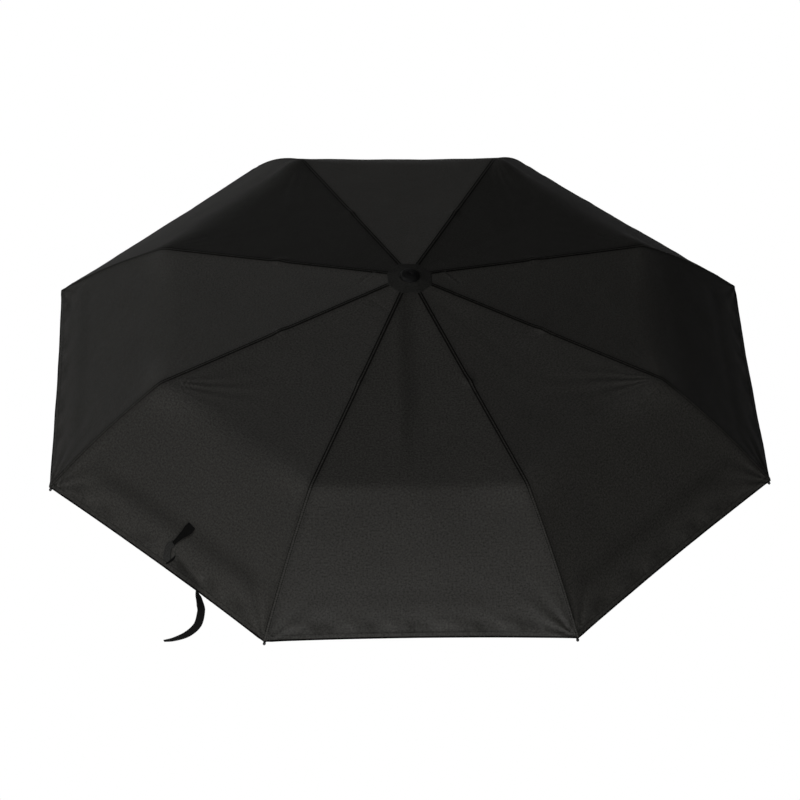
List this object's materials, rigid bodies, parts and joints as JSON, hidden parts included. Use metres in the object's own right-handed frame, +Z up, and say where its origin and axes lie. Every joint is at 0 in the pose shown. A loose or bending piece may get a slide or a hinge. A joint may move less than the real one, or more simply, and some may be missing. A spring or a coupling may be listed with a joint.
{
  "type": "folding umbrella",
  "caption": "Compact folding umbrella, open: black fabric canopy on jointed folding ribs, a telescoping shaft with sliding runner, straight grip with a short cord loop.",
  "frame": {"origin": "centre of the grip's flat bottom face", "axes": "+Z runs up the shaft to the cap; the tie strap's gore faces -X, and a gore's centre line faces -Y"},
  "size_m": [0.8944, 0.8944, 0.63],
  "materials": {
    "handle_core": "black moulded core of the grip",
    "handle_steel": "plain steel pins",
    "grip_rubber": "soft-touch black sleeve",
    "handle_plastic": "satin black moulding",
    "cord": "braided black cord",
    "tube_steel": "black lacquered steel tube",
    "spring_steel": "bright spring steel",
    "crown_plastic": "black moulded nylon",
    "cap_plastic": "shiny black moulding",
    "canopy_fabric": "black plain-weave polyester",
    "patch_fabric": "double layer of the canopy's cloth",
    "strap_webbing": "folded tape of the canopy's cloth",
    "rib_steel": "black lacquered steel",
    "rib_aluminium": "plain drawn aluminium",
    "tip_plastic": "black moulded tip"
  },
  "bodies": {
    "handle": {"handle_core": "handle_core", "handle_pin": "handle_steel", "handle_grip": "grip_rubber", "handle_collar": "handle_plastic", "handle_end_cap": "handle_plastic", "cord_pin": "handle_steel", "cord_loop": "cord", "bottom_tube": "tube_steel", "lower_catch": "spring_steel"},
    "middle_shaft": {"middle_tube": "tube_steel", "upper_catch": "spring_steel"},
    "top_shaft": {"top_tube": "tube_steel", "crown": "crown_plastic", "crown_wire": "spring_steel", "top_cap": "cap_plastic", "crown_patch": "patch_fabric", "canopy": "canopy_fabric", "tie_strap": "strap_webbing"},
    "runner": {"runner": "crown_plastic"},
    "runner_button": {"runner_button": "cap_plastic"},
    "top_rib_1": {"top_rib_1": "rib_steel"},
    "stretcher_1": {"stretcher_1": "rib_steel"},
    "middle_rib_1": {"middle_rib_1": "rib_aluminium"},
    "outer_rib_1": {"outer_rib_1": "rib_steel", "rib_tip_1": "tip_plastic"},
    "top_rib_2": {"top_rib_2": "rib_steel"},
    "stretcher_2": {"stretcher_2": "rib_steel"},
    "middle_rib_2": {"middle_rib_2": "rib_aluminium"},
    "outer_rib_2": {"outer_rib_2": "rib_steel", "rib_tip_2": "tip_plastic"},
    "top_rib_3": {"top_rib_3": "rib_steel"},
    "stretcher_3": {"stretcher_3": "rib_steel"},
    "middle_rib_3": {"middle_rib_3": "rib_aluminium"},
    "outer_rib_3": {"outer_rib_3": "rib_steel", "rib_tip_3": "tip_plastic"},
    "top_rib_4": {"top_rib_4": "rib_steel"},
    "stretcher_4": {"stretcher_4": "rib_steel"},
    "middle_rib_4": {"middle_rib_4": "rib_aluminium"},
    "outer_rib_4": {"outer_rib_4": "rib_steel", "rib_tip_4": "tip_plastic"},
    "top_rib_5": {"top_rib_5": "rib_steel"},
    "stretcher_5": {"stretcher_5": "rib_steel"},
    "middle_rib_5": {"middle_rib_5": "rib_aluminium"},
    "outer_rib_5": {"outer_rib_5": "rib_steel", "rib_tip_5": "tip_plastic"},
    "top_rib_6": {"top_rib_6": "rib_steel"},
    "stretcher_6": {"stretcher_6": "rib_steel"},
    "middle_rib_6": {"middle_rib_6": "rib_aluminium"},
    "outer_rib_6": {"outer_rib_6": "rib_steel", "rib_tip_6": "tip_plastic"},
    "top_rib_7": {"top_rib_7": "rib_steel"},
    "stretcher_7": {"stretcher_7": "rib_steel"},
    "middle_rib_7": {"middle_rib_7": "rib_aluminium"},
    "outer_rib_7": {"outer_rib_7": "rib_steel", "rib_tip_7": "tip_plastic"},
    "top_rib_8": {"top_rib_8": "rib_steel"},
    "stretcher_8": {"stretcher_8": "rib_steel"},
    "middle_rib_8": {"middle_rib_8": "rib_aluminium"},
    "outer_rib_8": {"outer_rib_8": "rib_steel", "rib_tip_8": "tip_plastic"}
  },
  "joints": [
    {"name": "lower_shaft_slide", "type": "slide", "parent": "handle", "child": "middle_shaft", "axis": [0, 0, -1], "range_m": [0, 0.15]},
    {"name": "upper_shaft_slide", "type": "slide", "parent": "middle_shaft", "child": "top_shaft", "axis": [0, 0, -1], "range_m": [0, 0.15]},
    {"name": "runner_slide", "type": "slide", "parent": "top_shaft", "child": "runner", "axis": [0, 0, -1], "range_m": [0, 0.12475], "deforming": ["canopy", "crown_patch", "tie_strap"]},
    {"name": "runner_button_press", "type": "slide", "parent": "runner", "child": "runner_button", "axis": [0, 1, 0], "range_m": [0, 0.0008], "stiffness_N_per_m": 600},
    {"name": "crown_hinge_1", "type": "hinge", "parent": "top_shaft", "child": "top_rib_1", "pos_m": [0.0097, 0.00402, 0.579], "axis": [-0.3827, 0.9239, 0], "range_deg": [-0.05, 79.65]},
    {"name": "stretcher_hinge_1", "type": "hinge", "parent": "top_rib_1", "child": "stretcher_1", "pos_m": [0.08603, 0.03564, 0.56384], "axis": [0.3827, -0.9239, 0], "range_deg": [-0.05, 147.82]},
    {"name": "knee_hinge_1", "type": "hinge", "parent": "top_rib_1", "child": "middle_rib_1", "pos_m": [0.16204, 0.06712, 0.55179], "axis": [0.3827, -0.9239, 0], "range_deg": [-0.05, 180.05]},
    {"name": "elbow_hinge_1", "type": "hinge", "parent": "middle_rib_1", "child": "outer_rib_1", "pos_m": [0.30675, 0.12706, 0.51775], "axis": [-0.3827, 0.9239, 0], "range_deg": [-0.05, 151.15]},
    {"name": "crown_hinge_2", "type": "hinge", "parent": "top_shaft", "child": "top_rib_2", "pos_m": [0.00402, 0.0097, 0.579], "axis": [-0.9239, 0.3827, 0], "range_deg": [-0.05, 79.65]},
    {"name": "stretcher_hinge_2", "type": "hinge", "parent": "top_rib_2", "child": "stretcher_2", "pos_m": [0.03564, 0.08603, 0.56384], "axis": [0.9239, -0.3827, 0], "range_deg": [-0.05, 147.82]},
    {"name": "knee_hinge_2", "type": "hinge", "parent": "top_rib_2", "child": "middle_rib_2", "pos_m": [0.06712, 0.16204, 0.55179], "axis": [0.9239, -0.3827, 0], "range_deg": [-0.05, 180.05]},
    {"name": "elbow_hinge_2", "type": "hinge", "parent": "middle_rib_2", "child": "outer_rib_2", "pos_m": [0.12706, 0.30675, 0.51775], "axis": [-0.9239, 0.3827, 0], "range_deg": [-0.05, 151.15]},
    {"name": "crown_hinge_3", "type": "hinge", "parent": "top_shaft", "child": "top_rib_3", "pos_m": [-0.00402, 0.0097, 0.579], "axis": [-0.9239, -0.3827, 0], "range_deg": [-0.05, 79.65]},
    {"name": "stretcher_hinge_3", "type": "hinge", "parent": "top_rib_3", "child": "stretcher_3", "pos_m": [-0.03564, 0.08603, 0.56384], "axis": [0.9239, 0.3827, 0], "range_deg": [-0.05, 147.82]},
    {"name": "knee_hinge_3", "type": "hinge", "parent": "top_rib_3", "child": "middle_rib_3", "pos_m": [-0.06712, 0.16204, 0.55179], "axis": [0.9239, 0.3827, 0], "range_deg": [-0.05, 180.05]},
    {"name": "elbow_hinge_3", "type": "hinge", "parent": "middle_rib_3", "child": "outer_rib_3", "pos_m": [-0.12706, 0.30675, 0.51775], "axis": [-0.9239, -0.3827, 0], "range_deg": [-0.05, 151.15]},
    {"name": "crown_hinge_4", "type": "hinge", "parent": "top_shaft", "child": "top_rib_4", "pos_m": [-0.0097, 0.00402, 0.579], "axis": [-0.3827, -0.9239, 0], "range_deg": [-0.05, 79.65]},
    {"name": "stretcher_hinge_4", "type": "hinge", "parent": "top_rib_4", "child": "stretcher_4", "pos_m": [-0.08603, 0.03564, 0.56384], "axis": [0.3827, 0.9239, 0], "range_deg": [-0.05, 147.82]},
    {"name": "knee_hinge_4", "type": "hinge", "parent": "top_rib_4", "child": "middle_rib_4", "pos_m": [-0.16204, 0.06712, 0.55179], "axis": [0.3827, 0.9239, 0], "range_deg": [-0.05, 180.05]},
    {"name": "elbow_hinge_4", "type": "hinge", "parent": "middle_rib_4", "child": "outer_rib_4", "pos_m": [-0.30675, 0.12706, 0.51775], "axis": [-0.3827, -0.9239, 0], "range_deg": [-0.05, 151.15]},
    {"name": "crown_hinge_5", "type": "hinge", "parent": "top_shaft", "child": "top_rib_5", "pos_m": [-0.0097, -0.00402, 0.579], "axis": [0.3827, -0.9239, 0], "range_deg": [-0.05, 79.65]},
    {"name": "stretcher_hinge_5", "type": "hinge", "parent": "top_rib_5", "child": "stretcher_5", "pos_m": [-0.08603, -0.03564, 0.56384], "axis": [-0.3827, 0.9239, 0], "range_deg": [-0.05, 147.82]},
    {"name": "knee_hinge_5", "type": "hinge", "parent": "top_rib_5", "child": "middle_rib_5", "pos_m": [-0.16204, -0.06712, 0.55179], "axis": [-0.3827, 0.9239, 0], "range_deg": [-0.05, 180.05]},
    {"name": "elbow_hinge_5", "type": "hinge", "parent": "middle_rib_5", "child": "outer_rib_5", "pos_m": [-0.30675, -0.12706, 0.51775], "axis": [0.3827, -0.9239, 0], "range_deg": [-0.05, 151.15]},
    {"name": "crown_hinge_6", "type": "hinge", "parent": "top_shaft", "child": "top_rib_6", "pos_m": [-0.00402, -0.0097, 0.579], "axis": [0.9239, -0.3827, 0], "range_deg": [-0.05, 79.65]},
    {"name": "stretcher_hinge_6", "type": "hinge", "parent": "top_rib_6", "child": "stretcher_6", "pos_m": [-0.03564, -0.08603, 0.56384], "axis": [-0.9239, 0.3827, 0], "range_deg": [-0.05, 147.82]},
    {"name": "knee_hinge_6", "type": "hinge", "parent": "top_rib_6", "child": "middle_rib_6", "pos_m": [-0.06712, -0.16204, 0.55179], "axis": [-0.9239, 0.3827, 0], "range_deg": [-0.05, 180.05]},
    {"name": "elbow_hinge_6", "type": "hinge", "parent": "middle_rib_6", "child": "outer_rib_6", "pos_m": [-0.12706, -0.30675, 0.51775], "axis": [0.9239, -0.3827, 0], "range_deg": [-0.05, 151.15]},
    {"name": "crown_hinge_7", "type": "hinge", "parent": "top_shaft", "child": "top_rib_7", "pos_m": [0.00402, -0.0097, 0.579], "axis": [0.9239, 0.3827, 0], "range_deg": [-0.05, 79.65]},
    {"name": "stretcher_hinge_7", "type": "hinge", "parent": "top_rib_7", "child": "stretcher_7", "pos_m": [0.03564, -0.08603, 0.56384], "axis": [-0.9239, -0.3827, 0], "range_deg": [-0.05, 147.82]},
    {"name": "knee_hinge_7", "type": "hinge", "parent": "top_rib_7", "child": "middle_rib_7", "pos_m": [0.06712, -0.16204, 0.55179], "axis": [-0.9239, -0.3827, 0], "range_deg": [-0.05, 180.05]},
    {"name": "elbow_hinge_7", "type": "hinge", "parent": "middle_rib_7", "child": "outer_rib_7", "pos_m": [0.12706, -0.30675, 0.51775], "axis": [0.9239, 0.3827, 0], "range_deg": [-0.05, 151.15]},
    {"name": "crown_hinge_8", "type": "hinge", "parent": "top_shaft", "child": "top_rib_8", "pos_m": [0.0097, -0.00402, 0.579], "axis": [0.3827, 0.9239, 0], "range_deg": [-0.05, 79.65]},
    {"name": "stretcher_hinge_8", "type": "hinge", "parent": "top_rib_8", "child": "stretcher_8", "pos_m": [0.08603, -0.03564, 0.56384], "axis": [-0.3827, -0.9239, 0], "range_deg": [-0.05, 147.82]},
    {"name": "knee_hinge_8", "type": "hinge", "parent": "top_rib_8", "child": "middle_rib_8", "pos_m": [0.16204, -0.06712, 0.55179], "axis": [-0.3827, -0.9239, 0], "range_deg": [-0.05, 180.05]},
    {"name": "elbow_hinge_8", "type": "hinge", "parent": "middle_rib_8", "child": "outer_rib_8", "pos_m": [0.30675, -0.12706, 0.51775], "axis": [0.3827, 0.9239, 0], "range_deg": [-0.05, 151.15]}
  ],
  "couplings": [
    {"joint": "crown_hinge_1", "follows": "runner_slide", "rad_per_m": 11.137},
    {"joint": "stretcher_hinge_1", "follows": "runner_slide", "rad_per_m": 20.674},
    {"joint": "knee_hinge_1", "follows": "runner_slide", "rad_per_m": 25.183},
    {"joint": "elbow_hinge_1", "follows": "runner_slide", "rad_per_m": 21.14},
    {"joint": "crown_hinge_2", "follows": "runner_slide", "rad_per_m": 11.137},
    {"joint": "stretcher_hinge_2", "follows": "runner_slide", "rad_per_m": 20.674},
    {"joint": "knee_hinge_2", "follows": "runner_slide", "rad_per_m": 25.183},
    {"joint": "elbow_hinge_2", "follows": "runner_slide", "rad_per_m": 21.14},
    {"joint": "crown_hinge_3", "follows": "runner_slide", "rad_per_m": 11.137},
    {"joint": "stretcher_hinge_3", "follows": "runner_slide", "rad_per_m": 20.674},
    {"joint": "knee_hinge_3", "follows": "runner_slide", "rad_per_m": 25.183},
    {"joint": "elbow_hinge_3", "follows": "runner_slide", "rad_per_m": 21.14},
    {"joint": "crown_hinge_4", "follows": "runner_slide", "rad_per_m": 11.137},
    {"joint": "stretcher_hinge_4", "follows": "runner_slide", "rad_per_m": 20.674},
    {"joint": "knee_hinge_4", "follows": "runner_slide", "rad_per_m": 25.183},
    {"joint": "elbow_hinge_4", "follows": "runner_slide", "rad_per_m": 21.14},
    {"joint": "crown_hinge_5", "follows": "runner_slide", "rad_per_m": 11.137},
    {"joint": "stretcher_hinge_5", "follows": "runner_slide", "rad_per_m": 20.674},
    {"joint": "knee_hinge_5", "follows": "runner_slide", "rad_per_m": 25.183},
    {"joint": "elbow_hinge_5", "follows": "runner_slide", "rad_per_m": 21.14},
    {"joint": "crown_hinge_6", "follows": "runner_slide", "rad_per_m": 11.137},
    {"joint": "stretcher_hinge_6", "follows": "runner_slide", "rad_per_m": 20.674},
    {"joint": "knee_hinge_6", "follows": "runner_slide", "rad_per_m": 25.183},
    {"joint": "elbow_hinge_6", "follows": "runner_slide", "rad_per_m": 21.14},
    {"joint": "crown_hinge_7", "follows": "runner_slide", "rad_per_m": 11.137},
    {"joint": "stretcher_hinge_7", "follows": "runner_slide", "rad_per_m": 20.674},
    {"joint": "knee_hinge_7", "follows": "runner_slide", "rad_per_m": 25.183},
    {"joint": "elbow_hinge_7", "follows": "runner_slide", "rad_per_m": 21.14},
    {"joint": "crown_hinge_8", "follows": "runner_slide", "rad_per_m": 11.137},
    {"joint": "stretcher_hinge_8", "follows": "runner_slide", "rad_per_m": 20.674},
    {"joint": "knee_hinge_8", "follows": "runner_slide", "rad_per_m": 25.183},
    {"joint": "elbow_hinge_8", "follows": "runner_slide", "rad_per_m": 21.14}
  ]
}
